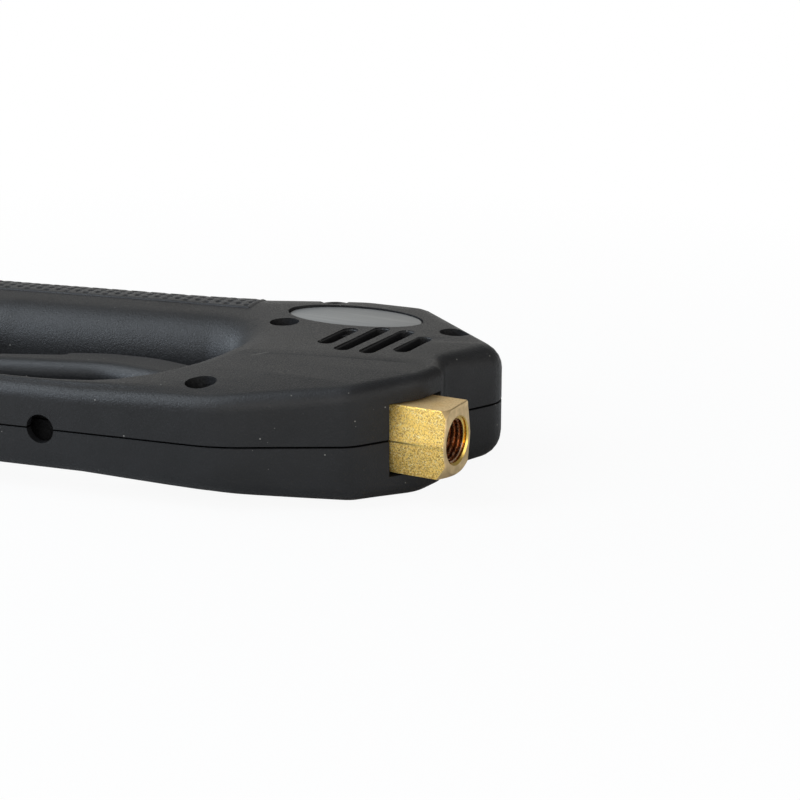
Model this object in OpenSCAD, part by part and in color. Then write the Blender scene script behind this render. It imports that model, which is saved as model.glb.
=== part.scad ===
// Trigger gun of a pressure washer: a moulded clamshell with a closed D handle, lying on its side.
// The origin is the centre of the outlet's mouth. +X runs out of the outlet, +Y goes from the finger
// guard towards the back of the grip, and the two shells meet at Z = 0.

/* [Housing] */
// Half of the thickness over the head and the grip
head_half = 16.3; // [15.5:0.1:18]
// Half of the thickness over the finger guard
guard_half = 11.7; // [11:0.1:12.5]
// Rise of the flat faces towards their middle
crown = 0.5; // [0.2:0.1:0.8]
// Thickness of the moulded wall
wall = 2.4; // [2:0.1:2.5]
// Chamfer where the two shells meet
seam_chamfer = 0.3; // [0.2:0.05:0.5]
// Distance from the outlet's mouth back to the front wall of the finger opening
opening_front = 76; // [75:0.5:79]
// Length of the finger opening
opening_length = 92; // [88:0.5:100]
// Depth of the grip, from the opening to its back
grip_depth = 36.2; // [34:0.2:38]
// Angle by which the grip and the inlet fall away from the outlet's axis
grip_tilt = 10.5; // [9.5:0.25:11.5]
// Distance from the valve's axis to the rear face of the grip
grip_reach = 153.5; // [150:0.5:160]
// Width of the finger guard
guard_width = 10.5; // [10:0.25:12]

/* [Details of the housing] */
// Width of a vent slot
vent_width = 3.8; // [3:0.1:4.4]
// Distance from one vent slot to the next
vent_pitch = 7.4; // [6.5:0.1:8]
// Length of the oval nameplate
plate_length = 40; // [34:0.5:42]
// Width of the oval nameplate
plate_width = 21.5; // [19:0.5:22]
// Thickness of the nameplate
plate_thickness = 0.6; // [0.4:0.1:0.9]
// Depth at which the nameplate lies below the flat face
plate_recess = 0.5; // [0.3:0.1:0.8]
// Diameter of the counterbores over the screws
counterbore_d = 8.4; // [7.6:0.1:9]
// Diameter of the hole in the finger guard
guard_hole_d = 7.9; // [6:0.1:8.4]

/* [Trigger] */
// Width of the trigger along Z
trigger_width = 16; // [14:0.5:16.5]
// Radius of the hub around the trigger's pin
hub_radius = 4.3; // [4:0.1:4.6]
// Diameter of the pin that the trigger turns on
pivot_pin_d = 4; // [3:0.1:4.5]
// Diameter of the pin that the safety catch turns on
catch_pin_d = 2.5; // [2:0.1:2.8]
// Length of the safety catch from its pin
catch_length = 15; // [12:0.5:16]
// Thickness of the safety catch
catch_thickness = 3.6; // [3:0.1:3.8]

/* [Valve] */
// Height of the forged block, flat to flat along Z
block_height = 18.8; // [18:0.2:20]
// Width of the block's flats
block_flat = 12.4; // [11:0.2:13.4]
// Width of the block over its parting line
block_width = 15.8; // [15.4:0.2:18]
// Length of the block
block_length = 17.3; // [16:0.1:20]
// Diameter of the neck between the block and the barrel
neck_d = 15; // [14:0.2:16.4]
// Diameter of the valve's barrel
barrel_d = 19; // [18:0.2:19.6]
// Distance from the outlet's mouth back to the barrel's axis
barrel_setback = 51; // [50:0.25:52]
// Minor diameter of the outlet's G 1/4 thread
outlet_thread_d = 11.44; // [11:0.02:12]
// Length of the outlet's thread
outlet_thread_length = 14; // [12:0.5:16]
// Diameter of the steel ball
ball_d = 7.94; // [7.5:0.02:8.4]
// Diameter of the push stem in its seal
stem_d = 4.4; // [4:0.1:4.8]
// Wire of the valve spring
spring_wire = 0.8; // [0.6:0.05:1]
// Number of curls of the valve spring
spring_curls = 12; // [8:1:16]

/* [Inlet] */
// Outer diameter of the inlet tube
tube_d = 9; // [8:0.1:9.2]
// Bore of the inlet tube
tube_bore = 5.5; // [4.5:0.1:6]
// Minor diameter of the inlet's G 3/8 thread
inlet_thread_d = 14.95; // [14.5:0.05:15.5]
// Length of the inlet's thread
inlet_thread_length = 13; // [11:0.5:15]
// Hexagon of the inlet fitting, across its flats
inlet_hex = 22; // [21:0.25:24]
// Length of the fitting outside the housing
inlet_proud = 16; // [14:0.5:20]

/* [Screws] */
// Diameter of a screw's shank
screw_d = 3.5; // [3:0.1:3.8]
// Diameter of a screw's head
screw_head_d = 7; // [6:0.1:7.4]
// Height at which the screw heads sit
screw_seat = 5.5; // [4.5:0.1:6]
// Depth of a screw in the lower shell
screw_depth = 10; // [8:0.5:10.5]

/* [Hidden] */
$fn = 64;

// Small amounts: a cut's overshoot, the gap of a loose fit, and the radial play of a running pin
over = 1;
loose = 0.5;
running = 0.05;

// ---- Outlines. A corner is [x, y, radius]; a point of an outline is [x, y, normal x, normal y],
// with the normal to its left.

// The grip's axis starts on the valve's barrel and falls by grip_tilt towards the rear.
barrel_x = -barrel_setback;
inlet_y = 44.5;
axis_rear = [-cos(grip_tilt), -sin(grip_tilt)];
axis_back = [-sin(grip_tilt), cos(grip_tilt)];
function on_grip(s, n) = [barrel_x, inlet_y] + s * axis_rear + n * axis_back;

// The guard runs at its own small angle, parallel inside and outside.
guard_tilt = 8.6;
guard_corner = [-52.5, -34.4];
guard_corner_r = 40;
function on_guard(x, n) =
    [x, guard_corner.y + (x - guard_corner.x) * tan(guard_tilt) + n / cos(guard_tilt)];

opening_rear = -opening_front - opening_length;
grip_half = grip_depth / 2;
grip_bend_r = 40;
grip_back = on_grip(grip_reach, grip_half);
grip_front = on_grip(grip_reach, -grip_half);
function grip_line(x, n) = [x, on_grip((barrel_x - x) / cos(grip_tilt), 0).y + n / cos(grip_tilt)];

rear_thickness = 17;
outer_corners = [
    concat(on_guard(opening_rear - rear_thickness + 3, 0), 16),
    concat(guard_corner, guard_corner_r),
    [-21.6, -17.8, 12],
    [-10.2, -0.3, 16],
    [-8.9, 9.6, 3],
    [-12.6, 17.6, 5],
    [-2.6, 38.2, 8.6],
    [-41, 68, 10],
    [-61, 66.8, 20],
    concat(grip_line(-90, grip_half), grip_bend_r),
    concat(grip_back, 10),
    concat(grip_front, 10),
];
opening_corners = [
    concat(on_guard(opening_rear + 3, guard_width), 14),
    concat(on_guard(-opening_front, guard_width), 28),
    concat(grip_line(-opening_front, -grip_half), 11),
    concat(grip_line(opening_rear, -grip_half), 13),
];

function unit(v) = v / norm(v);
function turn(u, v) = cross([u.x, u.y, 0], [v.x, v.y, 0]).z;
function arc_points(centre, from, to, inward, n) =
    let (a0 = atan2(from.y - centre.y, from.x - centre.x),
         a1 = atan2(to.y - centre.y, to.x - centre.x),
         sweep = (a1 - a0 + 540) % 360 - 180,
         r = norm(from - centre))
    [for (k = [0:n]) let (a = a0 + sweep * k / n, d = [cos(a), sin(a)])
        concat(centre + r * d, -inward * d)];
function rounded(corners, n) = let (m = len(corners)) [
    for (i = [0:m - 1])
        let (c = corners[i],
             p = [c.x, c.y],
             u = unit([corners[(i + m - 1) % m].x, corners[(i + m - 1) % m].y] - p),
             v = unit([corners[(i + 1) % m].x, corners[(i + 1) % m].y] - p),
             half = acos(u * v) / 2,
             reach = c[2] / tan(half),
             centre = p + unit(u + v) * c[2] / sin(half),
             way = turn(-u, v) > 0 ? 1 : -1)
        each arc_points(centre, p + u * reach, p + v * reach, way, n)];

outer_line = rounded(outer_corners, 6);
opening_line = rounded(opening_corners, 6);

// ---- The moulded skin: rays from the middle of the opening meet both outlines, and each ray
// carries a section from the outer wall over the rounded top to the opening's wall.
ring_centre = [-119, -9.5];
function bearing(p) = let (a = atan2(p.y - ring_centre.y, p.x - ring_centre.x)) a < -150 ? a + 360 : a;
function along(a, b, t) = a + (b - a) * t;
function meets(line, bear) =
    let (d = [cos(bear), sin(bear)], m = len(line))
    [for (i = [0:m - 1])
        let (a = line[i], b = line[(i + 1) % m],
             pa = [a.x, a.y] - ring_centre,
             pb = [b.x, b.y] - ring_centre,
             sa = turn(d, pa), sb = turn(d, pb))
        if (sa <= 0 && sb > 0 && (pa + pb) * d > 0) along(a, b, sa / (sa - sb))][0];
function sorted(v) = len(v) < 2 ? v :
    let (pivot = v[floor(len(v) / 2)])
    concat(sorted([for (x = v) if (x < pivot) x]), [pivot], sorted([for (x = v) if (x > pivot) x]));
function spaced(v, least) = [for (i = [0:len(v) - 1]) if (i == 0 || v[i] - v[i - 1] > least) v[i]];
bearings = spaced(sorted(concat([for (p = outer_line) bearing(p)], [for (p = opening_line) bearing(p)],
    [for (a = [-147:12:200]) a])), 0.12);

// Heights and edge radii by bearing: rear -150, guard -90, lower corner -20, boss 8, front corner 24,
// top corner 48, back of the head 60, grip 75 to 150, rear again 210.
rear_half = head_half - 3.1;
outer_height = [[-150, rear_half], [-120, guard_half], [-45, guard_half], [-21, guard_half + 1.4],
    [-4, head_half - 0.6], [4, head_half], [14, head_half], [24, head_half - 0.4],
    [62, head_half - 0.4], [75, head_half], [153, head_half], [173, head_half - 0.9],
    [195, head_half - 2.1], [210, rear_half]];
inner_height = [[-150, rear_half], [-120, guard_half], [-60, guard_half], [-30, guard_half + 0.7],
    [-14, guard_half + 1.7], [0, head_half - 1.3], [12, head_half], [153, head_half],
    [173, head_half - 0.9], [195, head_half - 2.1], [210, rear_half]];
outer_radius = [[-150, 6], [-110, 4], [-40, 4], [-10, 4.5], [0, 4], [5, 3.2], [12, 3.2], [16, 4.5],
    [24, 7.2], [48, 6], [60, 6], [75, 10.5], [140, 10.5], [153, 7], [173, 6], [210, 6]];
inner_radius = [[-150, 6], [-110, 4], [-40, 4], [-20, 4.4], [-10, 6], [2, 9.5], [12, 12.5], [150, 12.5],
    [175, 8], [210, 6]];

// One ray's section, moved inwards by inset: outer wall, outer round, crowned top, inner round, wall.
function round_up(p, r, top, n) = [for (k = [0:n]) let (a = 90 * k / n)
    [p.x + p[2] * r * (1 - cos(a)), p.y + p[3] * r * (1 - cos(a)), top - r + r * sin(a)]];
function pushed(p, d) = [p.x + p[2] * d, p.y + p[3] * d, p[2], p[3]];
function flat3(p, d, z) = [p.x + p[2] * d, p.y + p[3] * d, z];
function section(bear, inset, steps, floor_z) =
    let (o = pushed(meets(outer_line, bear), inset),
         raw = meets(opening_line, bear),
         i = pushed([raw.x, raw.y, -raw[2], -raw[3]], inset),
         zo = lookup(bear, outer_height) - inset,
         zi = lookup(bear, inner_height) - inset,
         ro = max(0.4, lookup(bear, outer_radius) - inset),
         ri = max(0.4, lookup(bear, inner_radius) - inset),
         up = round_up(o, ro, zo, steps),
         down = round_up(i, ri, zi, steps),
         bevel = inset > 0 ? 0 : seam_chamfer)
    concat([flat3(o, bevel, floor_z)], bevel > 0 ? [flat3(o, 0, bevel)] : [], up,
        [for (t = [0.25, 0.5, 0.75])
            along(up[steps], down[steps], t) + [0, 0, 4 * t * (1 - t) * crown]],
        [for (k = [steps:-1:0]) down[k]], bevel > 0 ? [flat3(i, 0, bevel)] : [], [flat3(i, bevel, floor_z)]);

// Half of the housing's volume above the seam; with an inset it is the hollow inside.
module half_skin(inset, steps, floor_z) {
    rings = [for (b = bearings) section(b, inset, steps, floor_z)];
    n = len(rings);
    m = len(rings[0]);
    points = [for (ring = rings) each ring];
    faces = [for (i = [0:n - 1], j = [0:m - 1])
        let (a = i * m + j, b = ((i + 1) % n) * m + j, c = i * m + (j + 1) % m,
             d = ((i + 1) % n) * m + (j + 1) % m)
        each [[a, c, b], [b, c, d]]];
    polyhedron(points, faces, convexity = 8);
}

// ---- Frames of the axes
module on_outlet_axis() rotate([0, 90, 0]) children();
module on_barrel_axis() translate([barrel_x, 0, 0]) rotate([-90, 0, 0]) children();
module on_inlet_axis()
    translate([barrel_x, inlet_y, 0]) rotate([0, 0, 180 + grip_tilt]) rotate([0, 90, 0]) children();
module along_z(from, to, r) translate([0, 0, from]) cylinder(h = to - from, r = r);
module tube_z(from, to, r, bore) difference() {
    along_z(from, to, r);
    along_z(from - over, to + over, bore);
}
module cone_z(from, to, r1, r2) translate([0, 0, from]) cylinder(h = to - from, r1 = r1, r2 = r2);
module hexagon(from, to, flats)
    translate([0, 0, from]) cylinder(h = to - from, r = flats / sqrt(3), $fn = 6);
module o_ring(z, inner, cord)
    translate([0, 0, z]) rotate_extrude() translate([inner + cord / 2, 0]) circle(d = cord, $fn = 24);
// A flat piece, standing evenly about Z = 0
module slab(half) translate([0, 0, -half]) linear_extrude(2 * half) children();
module xy(p) translate([p.x, p.y, 0]) children();

// ---- Places of the screws, vents and plates
screw_places = [[-61.8, -25.2], [-69, 29.5], [-22, 43], [-69, 58.3], [opening_rear - 14, -5.5],
    [opening_rear - 6, -44.5]];
boss_shaft_r = screw_d / 2 + 1.4;
boss_head_r = counterbore_d / 2 + 1;
vent_start = -47.8;
vent_spans = [[14.1, 31.4], [9.9, 36.4], [10.5, 37.1], [16.3, 33.6]];
vent_depth = 8;
plate_centre = [-54.5, 44.8];
plate_turn = 5.8;
plate_floor = head_half - plate_thickness - plate_recess;
plate_gap = 0.5;
screw_head = 2.4;
cross_length = 4;
cross_width = 0.9;
cross_depth = 1.4;
guard_hole_x = -101.7;
above = head_half + 3;

// ---- Valve: heights along the barrel's own axis, upwards from the outlet's axis
barrel_r = barrel_d / 2;
barrel_bottom = -9.6;
barrel_top = inlet_y + 8.8;
gland_top = -6.4;
seal_bottom = -5.4;
seal_top = -3.6;
seat_bottom = 6;
seat_top = 9.5;
seat_bore = 2.4;
chamber_r = 5.5;
lower_bore_r = 3.2;
seal_r = stem_d / 2 + 1.8;
gland_r = 5.5;
gland_slot = 1.2;
plug_r = 6.5;
plug_face = inlet_y + 4.8;
plug_guide = 12;
plug_hex = 16;
plug_head = 4;
washer = 1.2;
ball_r = ball_d / 2;
seat_cone_depth = 1.1;
ball_y = seat_top - seat_cone_depth - seat_bore + ball_r * sqrt(2) + 0.07;
stem_end = -12.6;
stem_tip = ball_y - ball_r - 0.3;
stem_nose_r = seat_bore - 0.8;
stem_shoulder = seat_bottom - 3;
stem_dome_r = stem_d / 2;
outlet_bore_r = 3;
spring_r = chamber_r - 0.9 - spring_wire / 2;
spring_bottom = ball_y + ball_r * 0.55;

// The forged block, seen along the outlet's axis
parting = 0.4;
block_section = [
    [block_flat / 2, block_height / 2], [block_width / 2, parting], [block_width / 2, -parting],
    [block_flat / 2, -block_height / 2], [-block_flat / 2, -block_height / 2], [-block_width / 2, -parting],
    [-block_width / 2, parting], [-block_flat / 2, block_height / 2],
];

// ---- Inlet: distances along its own axis, rearwards from the barrel's axis
tube_start = 8.5;
tube_groove = tube_start + 1.6;
boss_end = 14;
boss_r = tube_d / 2 + 2;
spigot_start = grip_reach - 26;
collar_start = grip_reach - 12;
collar_end = grip_reach - 8;
tube_end = spigot_start + 10;
fitting_end = grip_reach + inlet_proud;
fitting_groove = spigot_start + 2;
spigot_r = 8;
fitting_r = 9.6;
collar_r = 11.5;
hex_start = grip_reach + 1;
hex_chamfer = 1.5;
hex_facing = 0.2;
lead_in = 1;
ring_cord = 1.4;

// ---- Trigger
pivot = [-39, -16.5];
pivot_pin_half = 12;
half_trigger = trigger_width / 2;
arm_half = half_trigger - 1;
hub_half = half_trigger - 0.2;
catch_pivot = [-127.3, -8.8];
catch_lie = 23;
catch_half_width = 3;
catch_gap = 0.35;
pocket_front = 3.2;
pocket_length = 40;
pocket_depth = 10;
catch_pin_half = half_trigger - 1.5;

// ---- Housing
slot_low = -14.9;
slot_high = 11.5;
slot_start = -opening_front - 9;
slot_end = -opening_front + 11;
window_start = -24;
rib_top = head_half - wall / 2;
rib_clear = 0.3;
rib_thick = 2;
tube_ribs = [40, 75, 110];
tube_rib_half = 6;
collar_rib_half = 9;
neck_rib = -34;
barrel_ribs = [2, 28];
barrel_rib_half = 3;
hub_gap = 0.2;
pivot_boss_wall = 2;
module oval(length, width, from, to) translate([plate_centre.x, plate_centre.y, from])
    rotate([0, 0, plate_turn]) linear_extrude(to - from)
        polygon([for (a = [0:7.5:352.5]) [length / 2 * cos(a), width / 2 * sin(a)]]);

module vent(x, from, to) xy([x, 0]) {
    for (y = [from + vent_width / 2, to - vent_width / 2])
        translate([0, y, vent_depth]) cylinder(h = above - vent_depth, d = vent_width, $fn = 24);
    translate([-vent_width / 2, from + vent_width / 2, vent_depth])
        cube([vent_width, to - from - vent_width, above - vent_depth]);
}

// Ribs that hold the tube, the fitting's collar and the valve, drawn for the upper shell
module rib(s, half, hole) on_inlet_axis() difference() {
    translate([-rib_top, -half, s]) cube([rib_top - rib_clear, 2 * half, rib_thick]);
    along_z(s - over, s + rib_thick + over, hole);
}
module supports() {
    for (s = tube_ribs)
        rib(s, tube_rib_half, tube_d / 2);
    rib(collar_start - rib_thick, collar_rib_half, spigot_r);
    rib(collar_end, collar_rib_half, fitting_r);
    difference() {
        translate([neck_rib, -block_flat / 2, 0]) cube([rib_thick, block_flat, rib_top]);
        on_outlet_axis() along_z(neck_rib - over, neck_rib + rib_thick + over, neck_d / 2);
    }
    for (y = barrel_ribs)
        translate([barrel_x - barrel_rib_half, y, barrel_r])
            cube([2 * barrel_rib_half, rib_thick, rib_top - barrel_r]);
    xy(pivot) along_z(hub_half + hub_gap, head_half - 0.6 - wall / 2, pivot_pin_d / 2 + pivot_boss_wall);
}

module shell_openings() {
    // window for the valve's block, slot for the trigger, hole for the fitting
    translate([window_start, -block_width / 2 - loose, -over])
        cube([over - window_start, block_width + 2 * loose, block_height / 2 + loose + over]);
    translate([slot_start, slot_low, -over])
        cube([slot_end - slot_start, slot_high - slot_low, half_trigger + loose + over]);
    on_inlet_axis() along_z(grip_reach - 2 * wall, grip_reach + 2 * wall, fitting_r + 0.2);
    // hole in the guard, square to its outer face
    translate([guard_hole_x, on_guard(guard_hole_x, 0).y, 0]) rotate([0, 0, guard_tilt]) rotate([90, 0, 0])
        translate([0, 0, -2 * wall]) cylinder(h = 3 * wall, d = guard_hole_d);
}

module shell_half(counterbored) difference() {
    union() {
        difference() {
            half_skin(0, 6, 0);
            half_skin(wall, 3, -over);
            for (i = [0:len(vent_spans) - 1])
                vent(vent_start + i * vent_pitch, vent_spans[i][0], vent_spans[i][1]);
        }
        supports();
        for (p = screw_places)
            xy(p) screw_boss(counterbored, screw_top(p));
    }
    oval(plate_length + 2 * plate_gap, plate_width + 2 * plate_gap, plate_floor, above);
    shell_openings();
    xy(pivot) along_z(0, pivot_pin_half, pivot_pin_d / 2);
    for (p = screw_places)
        xy(p) screw_hole(counterbored);
}
// The face over the guard's screws is lower than over the head.
function screw_top(p) = (p.y < -15 ? guard_half + 1.4 : head_half - 0.6) - wall / 2;
module screw_boss(counterbored, top) {
    along_z(0, top, boss_shaft_r);
    if (counterbored)
        along_z(screw_seat - 1.6, top, boss_head_r);
}
module screw_hole(counterbored) {
    if (counterbored) {
        along_z(-over, screw_seat + over, screw_d / 2 + 0.15);
        along_z(screw_seat, above, counterbore_d / 2);
    } else {
        along_z(-over, screw_depth, screw_d / 2);
    }
}

module left_housing() color([0.13, 0.13, 0.135]) shell_half(true);
module right_housing() color([0.13, 0.13, 0.135]) mirror([0, 0, 1]) shell_half(false);

module housing_screws() color([0.55, 0.55, 0.56]) for (p = screw_places) xy(p) difference() {
    union() {
        along_z(-screw_depth, screw_seat, screw_d / 2);
        along_z(screw_seat, screw_seat + screw_head, screw_head_d / 2);
    }
    for (a = [0, 90])
        rotate([0, 0, a])
            translate([-cross_length / 2, -cross_width / 2, screw_seat + screw_head - cross_depth])
                cube([cross_length, cross_width, cross_depth + over]);
}

module nameplate() oval(plate_length, plate_width, plate_floor, plate_floor + plate_thickness);
module left_nameplate() color([0.58, 0.58, 0.57]) nameplate();
module right_nameplate() color([0.58, 0.58, 0.57]) mirror([0, 0, 1]) nameplate();

// ---- Trigger: a finger blade that curves towards the guard, and an arm that passes under the valve
blade_corners = [
    [-73, -14, 2.6], [-89.5, -6.8, 16], [-106, -6.4, 30], [-137, -17.1, 30], [-149, -23, 3.5],
    [-155, -20, 2.6], [-138, -10.3, 20], [-122.2, -3.3, 2.5], [-121.2, -0.5, 2.5], [-111, 3.7, 20],
    [-97, 5.7, 30], [-83, 3.5, 20], [-73, 2, 2.6],
];
blade_line = rounded([for (i = [len(blade_corners) - 1:-1:0]) blade_corners[i]], 3);
arm_outline = [
    [-39, -20.7], [-55, -19.5], [-68, -19.5], [-75, -14.1], [-79, -10], [-79, 1.5], [-73.5, 1.5],
    [-67, -4.5], [-63, -13.7], [-60.8, -15.1], [-55.5, stem_end - 0.05], [-46.5, stem_end - 0.05],
    [-43, -13.5], [-39, -12.5],
];
module on_catch() xy(catch_pivot) rotate([0, 0, 180 + catch_lie]) children();
module trigger() color([0.12, 0.12, 0.125]) difference() {
    union() {
        slab(half_trigger) polygon([for (p = blade_line) [p.x, p.y]]);
        slab(arm_half) polygon(arm_outline);
        xy(pivot) along_z(-hub_half, hub_half, hub_radius);
    }
    xy(pivot) along_z(-half_trigger - over, half_trigger + over, pivot_pin_d / 2 + running);
    xy(catch_pivot) along_z(-catch_pin_half, catch_pin_half, catch_pin_d / 2);
    // the pocket that the catch lies in, open towards the grip and the trigger's end
    on_catch() translate([-pocket_front, -pocket_depth, -catch_half_width - catch_gap])
        cube([pocket_length, pocket_depth + catch_thickness / 2 + catch_gap,
            2 * (catch_half_width + catch_gap)]);
}
module trigger_pivot_pin() color([0.72, 0.72, 0.73])
    xy(pivot) along_z(-pivot_pin_half, pivot_pin_half, pivot_pin_d / 2);

catch_hook = 1.2;
catch_outline = [
    [0, -catch_thickness / 2],
    [catch_length - 3, -catch_thickness / 2],
    [catch_length - 2, -catch_thickness / 2 - catch_hook],
    [catch_length, -catch_thickness / 2 - catch_hook],
    [catch_length, catch_thickness / 2 - 1],
    [catch_length - 1, catch_thickness / 2],
    [0, catch_thickness / 2],
];
module safety_catch() color([0.16, 0.16, 0.165]) on_catch() difference() {
    union() {
        slab(catch_half_width) polygon(catch_outline);
        along_z(-catch_half_width, catch_half_width, catch_thickness / 2 + 0.3);
    }
    along_z(-catch_half_width - over, catch_half_width + over, catch_pin_d / 2 + running);
}
module safety_catch_pin() color([0.72, 0.72, 0.73])
    xy(catch_pivot) along_z(-catch_pin_half, catch_pin_half, catch_pin_d / 2);

// ---- Valve
mouth_chamfer = 3.2;
mouth_r = block_height / 2 + 0.3;
chamfer_slope = 0.85;
// the turned face isn't quite in the middle of the forging
turned_shift = [0, 0.8, 0.8];
module block() intersection() {
    translate([-block_length, 0, 0]) rotate([90, 0, 90]) linear_extrude(block_length) polygon(block_section);
    // the turned chamfer at the mouth
    translate(turned_shift) on_outlet_axis() {
        cone_z(-mouth_chamfer, 0, mouth_r + chamfer_slope * mouth_chamfer, mouth_r);
        along_z(-block_length - over, -mouth_chamfer, block_height);
    }
}
module valve_body() color([0.80, 0.62, 0.27]) difference() {
    union() {
        block();
        on_outlet_axis() along_z(-barrel_setback, -block_length + 0.3, neck_d / 2);
        on_barrel_axis() along_z(barrel_bottom, barrel_top, barrel_r);
        on_inlet_axis() along_z(0, boss_end, boss_r);
    }
    on_outlet_axis() {
        along_z(-outlet_thread_length, over, outlet_thread_d / 2);
        along_z(-barrel_setback, -outlet_thread_length + over, outlet_bore_r);
    }
    on_barrel_axis() {
        along_z(barrel_bottom - over, gland_top, gland_r);
        along_z(barrel_bottom - over, seal_top, seal_r);
        along_z(seal_bottom, seat_bottom + over, lower_bore_r);
        along_z(seat_bottom, barrel_top + over, chamber_r);
        along_z(plug_face, barrel_top + over, plug_r);
    }
    on_inlet_axis() {
        along_z(0, boss_end, tube_bore / 2);
        along_z(tube_start, boss_end + over, tube_d / 2);
        along_z(tube_groove, tube_groove + ring_cord, tube_d / 2 + ring_cord);
    }
}
module valve_seat() color([0.70, 0.71, 0.72]) on_barrel_axis() difference() {
    union() {
        along_z(seat_bottom, seat_top, chamber_r - ring_cord);
        along_z(seat_bottom + ring_cord, seat_top, chamber_r);
    }
    along_z(seat_bottom - over, seat_top + over, seat_bore);
    cone_z(seat_top - seat_cone_depth, seat_top + 0.01, seat_bore, seat_bore + seat_cone_depth + 0.01);
}
module seat_o_ring() color([0.08, 0.08, 0.08])
    on_barrel_axis() o_ring(seat_bottom + ring_cord / 2, chamber_r - ring_cord, ring_cord);
module valve_ball() color([0.78, 0.79, 0.80]) on_barrel_axis() translate([0, 0, ball_y]) sphere(r = ball_r);

// A coil spring whose last half curl at each end lies flat
spring_rings = 10;
function spring_point(t) =
    let (free = plug_face - spring_bottom - 2 * spring_wire,
         rise = spring_wire + min(max(t - 0.5, 0), spring_curls - 1) / (spring_curls - 1) * free)
    [spring_r * cos(360 * t), spring_r * sin(360 * t), rise + spring_bottom];
module valve_spring() color([0.72, 0.72, 0.73]) on_barrel_axis() {
    sides = 6;
    n = spring_curls * spring_rings;
    rings = [for (i = [0:n])
        let (t = i / spring_rings,
             p = spring_point(t),
             f = unit(spring_point(t + 0.01) - spring_point(t - 0.01)),
             out = [cos(360 * t), sin(360 * t), 0],
             up = cross(f, out))
        [for (k = [0:sides - 1])
            let (a = 360 * k / sides)
            p + spring_wire / 2 * (cos(a) * out + sin(a) * up)]];
    polyhedron([for (ring = rings) each ring], concat(
        [[for (k = [sides - 1:-1:0]) k], [for (k = [0:sides - 1]) n * sides + k]],
        [for (i = [0:n - 1], k = [0:sides - 1])
            let (a = i * sides + k, b = i * sides + (k + 1) % sides)
            each [[a, b, a + sides], [b, b + sides, a + sides]]]), convexity = 10);
}
curl_pitch = (plug_face - spring_bottom - 2 * spring_wire) / (spring_curls - 1);
echo(least_gap_between_curls = curl_pitch - spring_wire);

module valve_plug() color([0.78, 0.60, 0.26]) on_barrel_axis() {
    along_z(plug_face - plug_guide, plug_face + over, spring_r - spring_wire / 2 - loose);
    along_z(plug_face, barrel_top + washer, plug_r);
    hexagon(barrel_top + washer, barrel_top + washer + plug_head, plug_hex);
}
module plug_washer() color([0.72, 0.45, 0.30])
    on_barrel_axis() tube_z(barrel_top, barrel_top + washer, barrel_r - loose, plug_r);
module push_stem() color([0.75, 0.76, 0.77]) on_barrel_axis() {
    translate([0, 0, stem_end + stem_dome_r]) sphere(r = stem_dome_r);
    along_z(stem_end + stem_dome_r, stem_shoulder, stem_d / 2);
    along_z(stem_shoulder - over, stem_tip, stem_nose_r);
}
module stem_seal() color([0.08, 0.08, 0.08])
    on_barrel_axis() o_ring((seal_bottom + seal_top) / 2, stem_d / 2, seal_r - stem_d / 2);
module backup_ring() color([0.90, 0.90, 0.88])
    on_barrel_axis() tube_z(gland_top, seal_bottom, seal_r, stem_d / 2 + running);
module gland_screw() color([0.78, 0.60, 0.26]) on_barrel_axis() difference() {
    along_z(barrel_bottom, gland_top, gland_r);
    along_z(barrel_bottom - over, gland_top + over, stem_d / 2 + 0.1);
    // screwdriver slot
    translate([-gland_r - over, -gland_slot / 2, barrel_bottom - over])
        cube([2 * (gland_r + over), gland_slot, over + gland_slot]);
}

// ---- Inlet
module inlet_tube() color([0.70, 0.71, 0.72])
    on_inlet_axis() tube_z(tube_start, tube_end, tube_d / 2, tube_bore / 2);
module tube_o_ring() color([0.08, 0.08, 0.08])
    on_inlet_axis() o_ring(tube_groove + ring_cord / 2, tube_d / 2, ring_cord);
module inlet_fitting() color([0.80, 0.62, 0.27]) on_inlet_axis() difference() {
    union() {
        along_z(spigot_start, collar_start, spigot_r);
        along_z(collar_start, collar_end, collar_r);
        along_z(collar_end, hex_start, fitting_r);
        intersection() {
            hexagon(hex_start, fitting_end, inlet_hex);
            union() {
                along_z(hex_start, fitting_end - hex_chamfer, inlet_hex);
                cone_z(fitting_end - hex_chamfer, fitting_end, inlet_hex / 2 + hex_chamfer,
                    inlet_hex / 2 - hex_facing);
            }
        }
    }
    along_z(spigot_start - over, tube_end, tube_d / 2);
    along_z(tube_end - over, fitting_end, tube_bore / 2);
    along_z(fitting_end - inlet_thread_length, fitting_end + over, inlet_thread_d / 2);
    cone_z(fitting_end - lead_in, fitting_end + 0.01, inlet_thread_d / 2,
        inlet_thread_d / 2 + lead_in + 0.01);
    along_z(fitting_groove, fitting_groove + ring_cord, tube_d / 2 + ring_cord);
}
module fitting_o_ring() color([0.08, 0.08, 0.08])
    on_inlet_axis() o_ring(fitting_groove + ring_cord / 2, tube_d / 2, ring_cord);

left_housing();
right_housing();
housing_screws();
left_nameplate();
right_nameplate();
trigger();
trigger_pivot_pin();
safety_catch();
safety_catch_pin();
valve_body();
valve_seat();
seat_o_ring();
valve_ball();
valve_spring();
valve_plug();
plug_washer();
push_stem();
stem_seal();
backup_ring();
gland_screw();
inlet_tube();
tube_o_ring();
inlet_fitting();
fitting_o_ring();
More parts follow.
